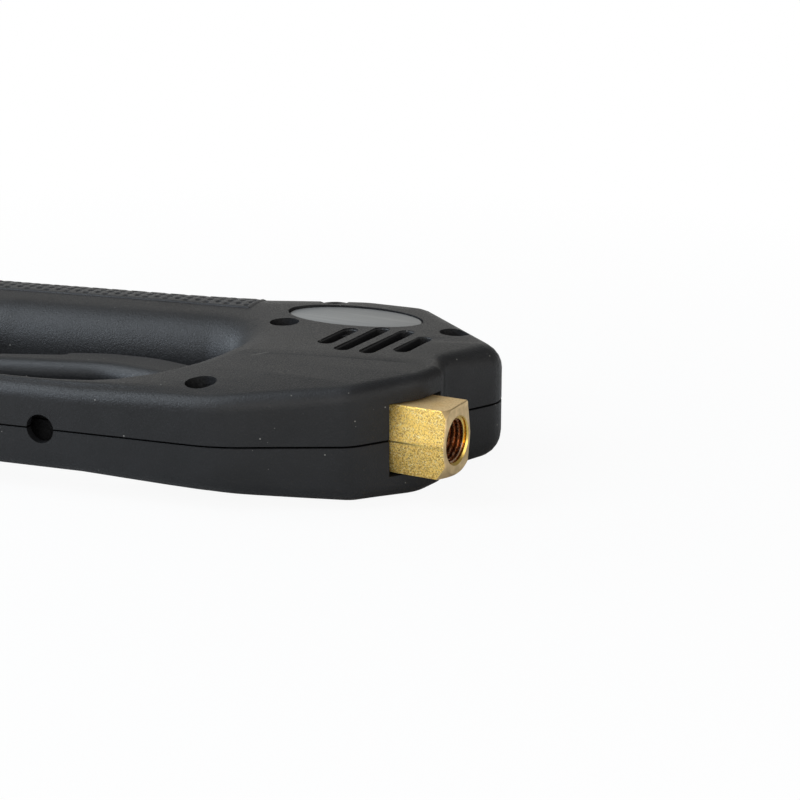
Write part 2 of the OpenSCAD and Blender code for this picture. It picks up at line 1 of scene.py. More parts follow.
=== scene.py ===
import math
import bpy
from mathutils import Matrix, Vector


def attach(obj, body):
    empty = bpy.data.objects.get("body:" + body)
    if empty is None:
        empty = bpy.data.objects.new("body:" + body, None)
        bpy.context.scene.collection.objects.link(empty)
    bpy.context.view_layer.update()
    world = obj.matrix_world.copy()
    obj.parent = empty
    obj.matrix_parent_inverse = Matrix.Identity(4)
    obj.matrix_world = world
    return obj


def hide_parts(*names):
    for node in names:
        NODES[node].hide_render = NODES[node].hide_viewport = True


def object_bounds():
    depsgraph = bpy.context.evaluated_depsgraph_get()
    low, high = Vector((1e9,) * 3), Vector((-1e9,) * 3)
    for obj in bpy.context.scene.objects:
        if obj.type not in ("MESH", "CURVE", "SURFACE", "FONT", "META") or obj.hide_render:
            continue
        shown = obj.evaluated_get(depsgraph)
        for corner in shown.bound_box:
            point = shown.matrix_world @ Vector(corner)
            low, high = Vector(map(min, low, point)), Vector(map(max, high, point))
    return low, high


bl_info = {
    "name": "Trigger Gun",
    "version": (1, 0, 0),
    "blender": (4, 5, 0),
    "location": "View3D > Sidebar > Trigger Gun",
    "description": "Dresses the packed trigger gun with finished pieces, materials, light and a camera",
    "category": "Object",
}

from collections import namedtuple

import bpy
from bpy.props import FloatProperty, FloatVectorProperty, IntProperty, PointerProperty
from mathutils import Matrix, Vector
from mathutils.bvhtree import BVHTree

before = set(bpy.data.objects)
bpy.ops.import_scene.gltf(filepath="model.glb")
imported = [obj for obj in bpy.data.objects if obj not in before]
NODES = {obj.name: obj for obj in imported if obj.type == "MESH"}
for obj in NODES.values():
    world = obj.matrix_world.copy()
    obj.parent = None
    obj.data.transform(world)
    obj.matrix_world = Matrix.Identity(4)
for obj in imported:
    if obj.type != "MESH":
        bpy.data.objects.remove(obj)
CAD_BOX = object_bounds()


# ---- Sizes and colours that a user would change

class HousingLook(bpy.types.PropertyGroup):
    """Finish of the moulded shells"""
    colour: FloatVectorProperty(
        name="Colour", description="Colour of the moulded plastic",
        subtype="COLOR", min=0.0, max=1.0, default=(0.0058, 0.0059, 0.0064))
    roughness: FloatProperty(
        name="Roughness", description="Roughness of the moulded grain",
        subtype="FACTOR", min=0.0, max=1.0, default=0.46)
    grain: FloatProperty(
        name="Grain", description="Width of one grain of the moulded surface",
        unit="LENGTH", min=0.0001, max=0.002, default=0.00040, precision=5)
    pad_pitch: FloatProperty(
        name="Pad pitch", description="Distance along the grip between two dimples in line",
        unit="LENGTH", min=0.003, max=0.008, default=0.0064, precision=4)
    pad_row: FloatProperty(
        name="Pad rows", description="Distance across the grip between two dimples in line",
        unit="LENGTH", min=0.003, max=0.008, default=0.0036, precision=4)
    pad_height: FloatProperty(
        name="Pad height", description="How far the grip's pad stands above the shell",
        unit="LENGTH", min=0.0001, max=0.0005, default=0.0004, precision=5)


class BrassLook(bpy.types.PropertyGroup):
    """Finish of the brass pieces"""
    forged: FloatVectorProperty(
        name="Forged colour", description="Colour of the forged brass",
        subtype="COLOR", min=0.0, max=1.0, default=(0.92, 0.66, 0.18))
    turned: FloatVectorProperty(
        name="Turned colour", description="Colour of the turned brass",
        subtype="COLOR", min=0.0, max=1.0, default=(0.82, 0.60, 0.31))
    thread: FloatVectorProperty(
        name="Thread colour", description="Colour of the freshly cut thread",
        subtype="COLOR", min=0.0, max=1.0, default=(0.92, 0.68, 0.50))
    thread_pitch: FloatProperty(
        name="Thread pitch", description="Pitch of the pipe threads",
        unit="LENGTH", min=0.0008, max=0.002, default=0.001337, precision=6)
    thread_sides: IntProperty(
        name="Thread sides", description="Number of sides to one turn of a thread",
        min=16, max=96, default=48)


class StageLook(bpy.types.PropertyGroup):
    """Light and floor"""
    floor_colour: FloatVectorProperty(
        name="Floor", description="Colour of the floor",
        subtype="COLOR", min=0.0, max=1.0, default=(0.58, 0.58, 0.58))
    sky: FloatProperty(
        name="Sky", description="Strength of the even light from all sides",
        min=0.0, max=2.0, default=0.22)
    top_light: FloatProperty(
        name="Top light", description="Power of the large lamp overhead",
        unit="POWER", min=0.0, max=50.0, default=7.4)
    front_light: FloatProperty(
        name="Front light", description="Power of the lamp in front; the one on the right follows it",
        unit="POWER", min=0.0, max=50.0, default=3.4)
    low_light: FloatProperty(
        name="Low light", description="Power of the bluish lamp in front on the left",
        unit="POWER", min=0.0, max=50.0, default=4.8)
    back_light: FloatProperty(
        name="Back light", description="Power of the low wide lamp behind",
        unit="POWER", min=0.0, max=50.0, default=0.85)
    side_light: FloatProperty(
        name="Side light", description="Power of the bluish lamp on the left",
        unit="POWER", min=0.0, max=50.0, default=3.0)


# ---- Sizes and places on the gun, in metres; angles in radians

Thread = namedtuple("Thread", "minor major length")

SIDES = (("left", 1), ("right", -1))
OVERSHOOT = 0.001               # how far a cutting tool stands out of what it cuts
MERGE = 0.000002                # corners closer than this are one

# The vents in the flat face of the head
HEAD_HALF = 0.0163
VENT_START = -0.0478
VENT_PITCH = 0.0074
VENT_WIDTH = 0.0038
VENT_ROUND = 0.00045
VENT_SPANS = ((0.0141, 0.0314), (0.0099, 0.0364), (0.0105, 0.0371), (0.0163, 0.0336))

# The forged outlet block: its end face is at x = 0 and its axis is the X axis
BLOCK_LENGTH = 0.0173
BLOCK_HALF_HEIGHT = 0.0094
BLOCK_HALF_FLAT = 0.0062
BLOCK_HALF_WIDTH = 0.0079
BLOCK_LAND = 0.0004             # straight stretch of a side, above and below the middle
BLOCK_EDGE = 0.0004
FLASH_LEVEL = 0.0004
FLASH_HEIGHT = 0.0008
FLASH_PROUD = 0.00015
FLASH_BACK = 0.0006             # how far the flash ends behind the end face
FLASH_SHADOW_DEPTH = 0.0002                # depth below the middle of the painted shadow line under the flash
BLOCK_MOUTH = 0.0097            # radius of the cone that the end was turned to, at the end face
BLOCK_SLOPE = 0.85
BLOCK_TURNED = 0.0008           # how far the turned cone stands off the axis
BLOCK_CONE = 0.02
BARREL_OVERLAP = 0.0001
FLECK_COLOUR = (1.0, 0.90, 0.52)
# painted shadow: colour of the dark line drawn just under the flash ridge
FLASH_SHADOW_COLOUR = (0.050, 0.032, 0.012)
FLASH_SHADOW_EDGE = (0.00012, 0.00034)  # the painted shadow line is full up to the first distance and gone at the second
FLASH_SHADOW_FADE = (-0.0125, -0.0050)  # the painted shadow line fades between these two places along the block

# The threads and the outlet's port
OUTLET_THREAD = Thread(0.00572, 0.00658, 0.0140)
INLET_THREAD = Thread(0.00740, 0.00833, 0.0120)
THREAD_LEAD = 0.0006            # how far a thread's tool stands out of the end face
MOUTH_DEPTH = 0.0018            # the cone that widens the port at its mouth
MOUTH_CENTRE = -0.0004
MOUTH_SPREAD = 0.0006
OUTLET_BORE = 0.0030
OUTLET_BORE_LENGTH = 0.02
PORT_MARGIN = 0.0004            # the port's faces lie within its major radius and this
LEAD_END = -0.0010              # the lead-in reaches back to here, and the thread starts

# The grip: s runs rearwards along it from the barrel, n runs towards its back
INLET_TILT = math.radians(10.5)
INLET_END = 0.1695
BARREL = Vector((-0.051, 0.0445, 0.0))
REARWARDS = Vector((-math.cos(INLET_TILT), -math.sin(INLET_TILT), 0.0))
BACKWARDS = Vector((-math.sin(INLET_TILT), math.cos(INLET_TILT), 0.0))

# The dimpled pad on the grip's back
PAD_FRONT = 0.0352
PAD_REAR = 0.1400
PAD_NEAR = -0.0004              # where its flat edge starts, at the front
PAD_LEAN = 0.012                # how far that edge leans, to a metre of its length
PAD_WIDTH = 0.030
PAD_LEVEL = 0.002               # height of the point that its rays aim at
PAD_RIM = 0.0011
PAD_STEP = 0.0004
PAD_DIMPLE = (0.00100, 0.00145)
PAD_WALL = 0.55                 # share of a dimple that its flat bottom takes
PAD_BOTTOM = 0.12               # share of the height that is left in a dimple
PAD_SUNK = 0.0002               # how far the pad reaches into the shell
PAD_RAYS = 60
RAY_START = 0.05

# The trigger's blade, along the side that the fingers pull
BLADE_HALF = 0.008
BLADE_ROUND = 0.0042
BLADE_SIDE = (-0.1495, -0.0765)
BLADE_FRONT = -0.003            # the points of that side have y below this ...
BLADE_BEND = -0.111             # ... and behind this x below a slope that falls away from it
BLADE_SLOPE = 0.42
BLADE_RUN_ON = 0.006            # how far the rounding goes on past the last of these points

# Marks on the moulded plastic
DUST_SCALE = 620                # cells to a metre, a few of which hold a speck
DUST_COLOUR = (0.20, 0.195, 0.18)
RUBBED_COLOUR = (0.08, 0.08, 0.08)
SCRATCH_COLOUR = (0.17, 0.165, 0.15)
SCRATCH = (-0.05835, -0.0016, 0.0)
SCRATCH_TURN = 0.82
SCRATCH_SIZE = (0.0060, 0.00028)
SEAM_EDGE = (0.00012, 0.00040)  # the parting line is dark up to the first height and gone at the second
SEAM_COLOUR = (0.001, 0.001, 0.001)
DUSTY_BAND = (0.0004, 0.0022)   # more dust lies up to the first height, and no more from the second

# The stage
FLOOR_SIZE = 6.0
FLOOR_DROP = 0.0005             # clearance between the floor and the solids, for the pad's ridges
FLOOR_MIDDLE = (-0.1, 0.0)
LAMP_AIM = Vector((-0.08, 0.0, 0.0))
CAMERA_PLACE = (0.213410, -0.442085, 0.160981)
CAMERA_AIM = (-0.441572, 0.848253, -0.292372)
CAMERA_LENS = 90.0              # in millimetres, and so is the sensor
CAMERA_SENSOR = 36.0


def on_grip(s, n, z=0.0):
    """A place given along the grip, towards its back and upwards"""
    return BARREL + REARWARDS * s + BACKWARDS * n + Vector((0, 0, z))


def held(value):
    """The value kept between 0 and 1"""
    return min(1.0, max(0.0, value))


# ---- Helpers for meshes

def deselect():
    if bpy.context.object and bpy.context.object.mode != "OBJECT":
        bpy.ops.object.mode_set(mode="OBJECT")
    bpy.ops.object.select_all(action="DESELECT")


def pick(obj):
    deselect()
    obj.select_set(True)
    bpy.context.view_layer.objects.active = obj


def edit(obj, operator, **settings):
    """Runs an operator of edit mode on the whole piece"""
    pick(obj)
    bpy.ops.object.mode_set(mode="EDIT")
    bpy.ops.mesh.select_all(action="SELECT")
    operator(**settings)
    bpy.ops.object.mode_set(mode="OBJECT")


def primitive(add, name, **settings):
    """A new primitive, under its own name"""
    deselect()
    add(**settings)
    obj = bpy.context.object
    obj.name = name
    obj.data.name = name
    return obj


def settle(obj):
    """Puts the object's place into its mesh"""
    pick(obj)
    bpy.ops.object.transform_apply(location=True, rotation=True, scale=True)


def aim(obj, direction, place):
    """Turns the piece's +Z along the direction and moves its origin to the place"""
    obj.rotation_euler = Vector(direction).to_track_quat("Z", "Y").to_euler()
    obj.location = place
    settle(obj)
    return obj


def box(name, middle, size):
    obj = primitive(bpy.ops.mesh.primitive_cube_add, name, size=1.0, location=middle)
    obj.scale = size
    settle(obj)
    return obj


def mesh_piece(name, points, faces):
    mesh = bpy.data.meshes.new(name)
    mesh.from_pydata(points, [], faces)
    mesh.validate()
    obj = bpy.data.objects.new(name, mesh)
    bpy.context.scene.collection.objects.link(obj)
    return obj


def closed_piece(name, points, faces):
    """A closed mesh whose faces are all turned outwards"""
    obj = mesh_piece(name, points, faces)
    edit(obj, bpy.ops.mesh.normals_make_consistent, inside=False)
    return obj


def copy_of(node, name):
    """A merged copy of a node's mesh, as an object of its own"""
    solid = NODES[node]
    obj = mesh_piece(name, [solid.matrix_world @ v.co for v in solid.data.vertices],
                     [tuple(p.vertices) for p in solid.data.polygons])
    edit(obj, bpy.ops.mesh.remove_doubles, threshold=MERGE)
    return obj


def flatten(obj):
    """Joins the triangles of flat faces"""
    edit(obj, bpy.ops.mesh.dissolve_limited, angle_limit=math.radians(0.5))


def bisect(obj, point, normal):
    """Cuts the piece by a plane and closes it; the part on the normal's side goes away"""
    edit(obj, bpy.ops.mesh.bisect, plane_co=point, plane_no=normal, use_fill=True, clear_outer=True)


def smooth(obj, angle):
    pick(obj)
    bpy.ops.object.shade_smooth_by_angle(angle=math.radians(angle))


def change(obj, kind, **settings):
    """Adds a modifier and applies it"""
    modifier = obj.modifiers.new(kind.lower(), kind)
    for key, value in settings.items():
        setattr(modifier, key, value)
    pick(obj)
    bpy.ops.object.modifier_apply(modifier=modifier.name)


def bevel(obj, width, segments=2, angle=40):
    change(obj, "BEVEL", width=width, segments=segments, limit_method="ANGLE",
           angle_limit=math.radians(angle))


def cut(obj, tool, operation="DIFFERENCE"):
    change(obj, "BOOLEAN", operation=operation, solver="EXACT", object=tool)
    bpy.data.objects.remove(tool)


def finish_piece(obj, body, material, slot, *nodes):
    """Gives the piece its finish, the body that it rides and the nodes that it stands for"""
    obj.data.materials.clear()
    obj.data.materials.append(material)
    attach(obj, body)
    if nodes:
        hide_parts(*nodes)


# ---- Helpers for materials

def toned(colour, *factors):
    """The colour times one factor, or times one for each of red, green and blue"""
    if len(factors) == 1:
        factors *= 3
    return tuple(c * f for c, f in zip(colour, factors))


class Shade:
    """One material's node tree"""

    def __init__(self, name, colour, roughness, metallic=0.0, specular=0.5):
        self.material = bpy.data.materials.new(name)
        self.material.use_nodes = True
        self.material.diffuse_color = (*colour, 1.0)
        self.tree = self.material.node_tree
        self.surface = self.tree.nodes["Principled BSDF"]
        self.surface.inputs["Base Color"].default_value = (*colour, 1.0)
        self.surface.inputs["Roughness"].default_value = roughness
        self.surface.inputs["Metallic"].default_value = metallic
        self.surface.inputs["Specular IOR Level"].default_value = specular
        self.place = self.tree.nodes.new("ShaderNodeTexCoord").outputs["Object"]

    def node(self, kind, inputs=None, **settings):
        made = self.tree.nodes.new(kind)
        for key, value in settings.items():
            setattr(made, key, value)
        for key, value in (inputs or {}).items():
            socket = made.inputs[key]
            if isinstance(value, bpy.types.NodeSocket):
                self.tree.links.new(value, socket)
            else:
                socket.default_value = value
        return made

    def link(self, value, name):
        self.tree.links.new(value, self.surface.inputs[name])

    def moved(self, location=(0, 0, 0), rotation=(0, 0, 0), scale=(1, 1, 1)):
        return self.node("ShaderNodeMapping", {"Vector": self.place, "Location": location,
                                               "Rotation": rotation, "Scale": scale}).outputs[0]

    def axes(self, vector=None):
        """The x, y and z of a vector, which is the place itself unless another is given"""
        return tuple(self.node("ShaderNodeSeparateXYZ", {0: vector or self.place}).outputs)

    def distance(self, vector=None):
        return self.node("ShaderNodeVectorMath", {0: vector or self.place},
                         operation="LENGTH").outputs["Value"]

    def noise(self, scale, detail=2.0, roughness=0.5, vector=None):
        return self.node("ShaderNodeTexNoise", {"Vector": vector or self.place, "Scale": scale,
                                                "Detail": detail, "Roughness": roughness}).outputs[0]

    def cells(self, scale):
        """The distance from each cell's centre, and one random colour for each cell"""
        made = self.node("ShaderNodeTexVoronoi", {"Vector": self.place, "Scale": scale})
        return made.outputs["Distance"], made.outputs["Color"]

    def chance(self, colour):
        """A single value taken from a random colour"""
        return self.node("ShaderNodeSeparateColor", {0: colour}).outputs[0]

    def math(self, operation, a, b=0.0, clamp=False):
        return self.node("ShaderNodeMath", {0: a, 1: b}, operation=operation, use_clamp=clamp).outputs[0]

    def times(self, a, b):
        return self.math("MULTIPLY", a, b)

    def span(self, value, low, high, to_low=0.0, to_high=1.0):
        """Maps low..high to to_low..to_high, held at the ends"""
        return self.node("ShaderNodeMapRange", {"Value": value, "From Min": low, "From Max": high,
                                                "To Min": to_low, "To Max": to_high}).outputs[0]

    def blend(self, factor, a, b):
        made = self.tree.nodes.new("ShaderNodeMix")
        made.data_type = "RGBA"
        # these are the sockets of a mix of colours
        for index, value in ((0, factor), (6, a), (7, b)):
            if isinstance(value, bpy.types.NodeSocket):
                self.tree.links.new(value, made.inputs[index])
            elif index:
                made.inputs[index].default_value = (*value, 1.0)
            else:
                made.inputs[index].default_value = value
        return made.outputs[2]

    def bump(self, height, strength, distance, under=None):
        inputs = {"Height": height, "Strength": strength, "Distance": distance}
        if under:
            inputs["Normal"] = under
        return self.node("ShaderNodeBump", inputs).outputs[0]


def dusty(s, tone, more):
    """Lays small pale specks over the colour, with more of them as the last value grows"""
    distance, colour = s.cells(DUST_SCALE)
    speck = s.span(distance, 0.08, 0.15, 1.0, 0.0)
    chosen = s.span(s.math("ADD", s.chance(colour), more), 0.955, 0.975)
    return s.blend(s.times(speck, chosen), tone, DUST_COLOUR)


def streak(s, place, angle, length, width):
    """1 along a straight mark on the flat face, 0 away from it"""
    turn = Matrix.Rotation(-angle, 3, "Z")
    along, across, _ = s.axes(s.moved(-(turn @ Vector(place)), (0, 0, -angle)))
    return s.times(s.span(s.math("ABSOLUTE", along), 0.3 * length, 0.5 * length, 1.0, 0.0),
                   s.span(s.math("ABSOLUTE", across), 0.2 * width, 0.6 * width, 1.0, 0.0))


def scuffed(s, tone):
    """Lays faint rubbed patches and one scratch over the colour"""
    worn = s.noise(900, 2.0, 0.7, s.moved(scale=(0.25, 1.0, 1.0), rotation=(0, 0, 0.5)))
    patch = s.noise(55, 1.0)
    rub = s.times(s.span(worn, 0.62, 0.74), s.span(patch, 0.60, 0.68))
    tone = s.blend(s.times(rub, 0.35), tone, RUBBED_COLOUR)
    scratch = streak(s, SCRATCH, SCRATCH_TURN, *SCRATCH_SIZE)
    return s.blend(s.times(scratch, 0.6), tone, SCRATCH_COLOUR)


def moulded_plastic(name, colour, roughness, grain, parted=True, relief=1.0):
    """Dark plastic with a fine grain and faint dust, and where it is parted a dark line and light scuffs"""
    shine = 0.32
    s = Shade(name, colour, roughness, specular=shine)
    fine = s.noise(1.0 / grain, 2.0, 0.6)
    cloud = s.noise(38, 3.0, 0.6)
    tone = s.blend(s.span(cloud, 0.35, 0.65), colour, toned(colour, 1.7))
    tone = s.blend(s.span(fine, 0.56, 0.72, 0.0, 0.5), tone, toned(colour, 3.2))
    if parted:
        level = s.math("ABSOLUTE", s.axes()[2])
        tone = scuffed(s, dusty(s, tone, s.span(level, *DUSTY_BAND, 0.09, 0.0)))
        # nothing shines in the narrow parting line
        clear = s.span(level, *SEAM_EDGE)
        s.link(s.times(clear, shine), "Specular IOR Level")
        tone = s.blend(clear, SEAM_COLOUR, tone)
    else:
        tone = dusty(s, tone, 0.0)
    s.link(tone, "Base Color")
    s.link(s.span(fine, 0.35, 0.65, roughness - 0.10, roughness + 0.10), "Roughness")
    ripple = s.bump(fine, 0.75 * relief, grain * 0.40)
    s.link(s.bump(s.cells(0.7 / grain)[0], 0.45 * relief, grain * 0.22, ripple), "Normal")
    return s.material


def forged_brass(name, colour, depth):
    """Hot forged and grit blasted brass: dark and pale grains, and a painted shadow line under the flash
    where the dies met
    """
    s = Shade(name, colour, 0.42, 0.85)
    grain = s.noise(2300, 2.0, 0.60)
    deep = toned(colour, 1 - 0.50 * depth, 1 - 0.60 * depth, 1 - 0.62 * depth)
    tone = s.blend(s.span(grain, 0.40, 0.56), deep, colour)
    fleck = s.span(s.noise(2700, 2.0, 0.55, s.moved((0.3, 0.2, 0.1))), 0.55, 0.66, 0.0, 0.9 * depth)
    tone = s.blend(fleck, tone, FLECK_COLOUR)
    cloud = s.noise(160, 2.0, 0.5)
    tone = s.blend(s.span(cloud, 0.40, 0.70, 0.0, 0.35), tone, toned(colour, 0.98, 0.86, 0.55))
    x, _, z = s.axes()
    # painted shadow: a dark line just under the flash ridge, fading towards the end face
    line = s.span(s.math("ABSOLUTE", s.math("ADD", z, FLASH_SHADOW_DEPTH)), *FLASH_SHADOW_EDGE, 0.8 * depth, 0.0)
    line = s.times(line, s.span(x, *FLASH_SHADOW_FADE, 1.0, 0.15))
    s.link(s.blend(line, tone, FLASH_SHADOW_COLOUR), "Base Color")
    s.link(s.span(grain, 0.35, 0.65, 0.64, 0.46), "Roughness")
    s.link(s.bump(s.math("ADD", grain, fleck), 0.6 * depth + 0.1, 0.00018), "Normal")
    return s.material


def turned_metal(name, colour, roughness, pitch=0.00012):
    """Machined metal with fine tool marks in rings about the X axis"""
    s = Shade(name, colour, roughness, 1.0)
    rings = s.node("ShaderNodeTexWave", {"Vector": s.place, "Scale": 0.05 / pitch, "Distortion": 1.2,
                                         "Detail": 1.0, "Detail Scale": 0.4},
                   wave_type="RINGS", rings_direction="X").outputs["Fac"]
    haze = s.noise(320, 3.0, 0.6)
    s.link(s.blend(s.span(haze, 0.35, 0.68), toned(colour, 0.72), colour), "Base Color")
    s.link(s.span(haze, 0.3, 0.7, roughness + 0.10, roughness - 0.06), "Roughness")
    s.link(s.bump(s.noise(2600, 2.0), 0.10, 0.00003, s.bump(rings, 0.25, 0.00003)), "Normal")
    return s.material


def cut_thread(name, colour):
    """Coppery crests over roots darkened with painted shade, about the outlet's axis"""
    s = Shade(name, colour, 0.20, 1.0)
    _, y, z = s.axes()
    radius = s.math("SQRT", s.math("ADD", s.times(y, y), s.times(z, z)))
    minor = OUTLET_THREAD.minor
    unshaded_crest = s.span(radius, minor + 0.00012, minor + 0.00050, 1.0, 0.0)
    haze = s.noise(900, 2.0, 0.6)
    # painted shade: the colour is darkened from the crests down to the roots
    s.link(s.blend(unshaded_crest, toned(colour, 0.42, 0.32, 0.25), colour), "Base Color")
    s.link(s.span(haze, 0.35, 0.65, 0.30, 0.14), "Roughness")
    s.link(s.bump(haze, 0.15, 0.00003), "Normal")
    return s.material


def soft_rubber(name, colour):
    """Matt rubber with a slightly uneven surface"""
    s = Shade(name, colour, 0.62, specular=0.4)
    s.link(s.blend(s.span(s.noise(500, 2.0), 0.3, 0.7), colour, toned(colour, 1.6)), "Base Color")
    s.link(s.bump(s.noise(3500, 2.0), 0.2, 0.00003), "Normal")
    return s.material


def satin_plate(name, colour):
    """Satin sheet metal with a faint brushed grain and a few dark flecks"""
    s = Shade(name, colour, 0.42, 0.35)
    brush = s.noise(700, 3.0, 0.6, s.moved(scale=(0.04, 1.0, 1.0)))
    tone = s.blend(s.span(brush, 0.3, 0.7), toned(colour, 0.93), toned(colour, 1.05))
    distance, chosen = s.cells(300)
    fleck = s.times(s.span(distance, 0.08, 0.13, 1.0, 0.0), s.span(s.chance(chosen), 0.985, 0.99))
    tone = s.blend(fleck, tone, (0.08, 0.07, 0.06))
    s.link(tone, "Base Color")
    s.link(s.span(brush, 0.3, 0.7, 0.48, 0.38), "Roughness")
    s.link(s.bump(brush, 0.08, 0.00003), "Normal")
    return s.material


def make_look(name):
    """Makes the finish of that name"""
    housing = bpy.context.scene.gun_housing
    brass = bpy.context.scene.gun_brass
    black = tuple(housing.colour)
    turned = tuple(brass.turned)
    grain = housing.grain
    makers = {
        "shell": lambda: moulded_plastic("moulded_shell", black, housing.roughness, grain),
        "pad": lambda: moulded_plastic("moulded_pad", toned(black, 2.0), housing.roughness, grain, False),
        # painted shade: the dimples' faces take a darker colour than the pad
        "dimple": lambda: moulded_plastic("pad_dimple_shaded", toned(black, 0.7), 0.70, grain, False),
        "trigger": lambda: moulded_plastic("moulded_trigger", toned(black, 1.1), 0.44, grain, relief=0.4),
        "plate": lambda: satin_plate("blank_plate", (0.205, 0.205, 0.20)),
        "forged": lambda: forged_brass("blasted_brass", tuple(brass.forged), 1.0),
        "broached": lambda: forged_brass("broached_brass", turned, 0.30),
        "mouth": lambda: turned_metal("turned_mouth", turned, 0.36, 0.0003),
        "thread": lambda: cut_thread("cut_thread", tuple(brass.thread)),
        "lead": lambda: turned_metal("lead_in", (0.95, 0.66, 0.17), 0.24, 0.0002),
        "turned": lambda: turned_metal("lathe_brass", turned, 0.30),
        "steel": lambda: turned_metal("ground_steel", (0.60, 0.60, 0.61), 0.24, 0.0001),
        "screw": lambda: turned_metal("black_screw", (0.16, 0.16, 0.17), 0.40, 0.0002),
        "wire": lambda: turned_metal("spring_wire", (0.50, 0.50, 0.52), 0.28, 0.0003),
        "copper": lambda: turned_metal("copper_ring", (0.62, 0.30, 0.18), 0.36, 0.0002),
        "rubber": lambda: soft_rubber("black_rubber", (0.018, 0.018, 0.018)),
        "white": lambda: soft_rubber("white_ring", (0.62, 0.62, 0.58)),
    }
    return makers[name]()


FINISHES = {}


def look(name):
    """The finish of that name, which is made once"""
    if name not in FINISHES:
        FINISHES[name] = make_look(name)
    return FINISHES[name]


# ---- Pieces

def thread_cutter(name, thread):
    """A solid with a helical ridge that cuts a thread down from z = 0"""
    brass = bpy.context.scene.gun_brass
    pitch = brass.thread_pitch
    sides = brass.thread_sides
    # share of the pitch and radius, over one turn
    profile = ((0.00, thread.minor), (0.14, thread.minor), (0.42, thread.major), (0.58, thread.major),
               (0.86, thread.minor))
    # the spare turns at both ends are cut off below
    turns = math.ceil((thread.length + THREAD_LEAD) / pitch) + 3
    heights = [((turn + part) * pitch - thread.length - 1.5 * pitch, radius)
               for turn in range(turns) for part, radius in profile]
    points = []
    for height, radius in heights:
        for k in range(sides):
            angle = 2 * math.pi * k / sides
            points.append((radius * math.cos(angle), radius * math.sin(angle), height + pitch * k / sides))
    faces = []
    rows = len(heights)
    per_turn = len(profile)
    for j in range(rows - 1):
        for k in range(sides - 1):
            a = j * sides + k
            faces.append((a, a + 1, a + 1 + sides, a + sides))
    # the last strip joins each row to the row one turn further on
    for j in range(rows - 1 - per_turn):
        a = j * sides + sides - 1
        b = (j + per_turn) * sides
        faces.append((a, b, b + sides, a + sides))
    cutter = mesh_piece(name, points, faces)
    bisect(cutter, (0, 0, -thread.length), (0, 0, -1))
    bisect(cutter, (0, 0, THREAD_LEAD), (0, 0, 1))
    return cutter


class GUN_OT_outlet(bpy.types.Operator):
    """Makes the forged outlet block with its turned mouth and cut thread"""
    bl_idname = "gun.outlet"
    bl_label = "Outlet block"

    def execute(self, context):
        block = self.forging()
        self.turn_end(block)
        self.cut_port(block)
        smooth(block, 28)
        finish_piece(block, "housing", look("forged"), "forged_brass", "valve_body")
        self.give_faces_looks(block)
        self.barrel()
        return {"FINISHED"}

    def forging(self):
        """The block with drafted sides, and the thin flash left where the dies met"""
        block = box("outlet_block", (-BLOCK_LENGTH / 2, 0, 0),
                    (BLOCK_LENGTH, 2 * BLOCK_HALF_WIDTH, 2 * BLOCK_HALF_HEIGHT))
        slope = Vector((0, BLOCK_HALF_HEIGHT - BLOCK_LAND, BLOCK_HALF_WIDTH - BLOCK_HALF_FLAT)).normalized()
        for side in (-1, 1):
            for level in (-1, 1):
                bisect(block, (0, side * BLOCK_HALF_WIDTH, level * BLOCK_LAND),
                       (0, side * slope.y, level * slope.z))
        bevel(block, BLOCK_EDGE, 4, 25)
        flash = box("flash", (-BLOCK_LENGTH / 2 - FLASH_BACK, 0, FLASH_LEVEL),
                    (BLOCK_LENGTH, 2 * BLOCK_HALF_WIDTH + 2 * FLASH_PROUD, FLASH_HEIGHT))
        bevel(flash, 0.00015)
        cut(block, flash, "UNION")
        return block

    def turn_end(self, block):
        """Rounds the end, as on a lathe, by a cone that stands a little off the axis"""
        cone = primitive(bpy.ops.mesh.primitive_cone_add, "turned", vertices=128, depth=BLOCK_CONE,
                         radius1=BLOCK_MOUTH + BLOCK_CONE * BLOCK_SLOPE, radius2=BLOCK_MOUTH)
        cut(block, aim(cone, (1, 0, 0), (-BLOCK_CONE / 2, BLOCK_TURNED, BLOCK_TURNED)), "INTERSECT")

    def cut_port(self, block):
        """Cuts the thread, its countersunk mouth and the bore behind it"""
        cutter = thread_cutter("outlet_cutter", OUTLET_THREAD)
        cut(block, aim(cutter, (1, 0, 0), (0, 0, 0)))
        mouth = primitive(bpy.ops.mesh.primitive_cone_add, "mouth", vertices=96, depth=MOUTH_DEPTH,
                          radius1=OUTLET_THREAD.minor - MOUTH_SPREAD,
                          radius2=OUTLET_THREAD.major + MOUTH_SPREAD)
        cut(block, aim(mouth, (1, 0, 0), (MOUTH_CENTRE, 0, 0)))
        bore = primitive(bpy.ops.mesh.primitive_cylinder_add, "bore", vertices=48,
                         radius=OUTLET_BORE, depth=OUTLET_BORE_LENGTH)
        cut(block, aim(bore, (1, 0, 0), (-BLOCK_LENGTH, 0, 0)))

    def give_faces_looks(self, block):
        """Finds the faces of the mouth, the thread, the broached flats and the lead-in by their places"""
        names = ("mouth", "thread", "broached", "lead")
        slots = {name: k + 1 for k, name in enumerate(names)}
        for name in names:
            block.data.materials.append(look(name))
        for face in block.data.polygons:
            middle = face.center
            in_port = math.hypot(middle.y, middle.z) < OUTLET_THREAD.major + PORT_MARGIN
            if in_port and -OUTLET_THREAD.length - OVERSHOOT < middle.x < LEAD_END:
                face.material_index = slots["thread"]
            elif in_port and middle.x >= LEAD_END and face.normal.x < 0.95:
                face.material_index = slots["lead"]
            elif face.normal.x > 0.30 and middle.x > -BLOCK_LENGTH / 4:
                face.material_index = slots["mouth"]
            elif abs(face.normal.z) > 0.9:
                face.material_index = slots["broached"]

    def barrel(self):
        """The rest of the valve body, behind the block"""
        barrel = copy_of("valve_body", "valve_barrel")
        bisect(barrel, (-BLOCK_LENGTH + BARREL_OVERLAP, 0, 0), (1, 0, 0))
        flatten(barrel)
        bevel(barrel, 0.0003, 2, 50)
        smooth(barrel, 36)
        finish_piece(barrel, "housing", look("forged"), "forged_brass", "valve_body")


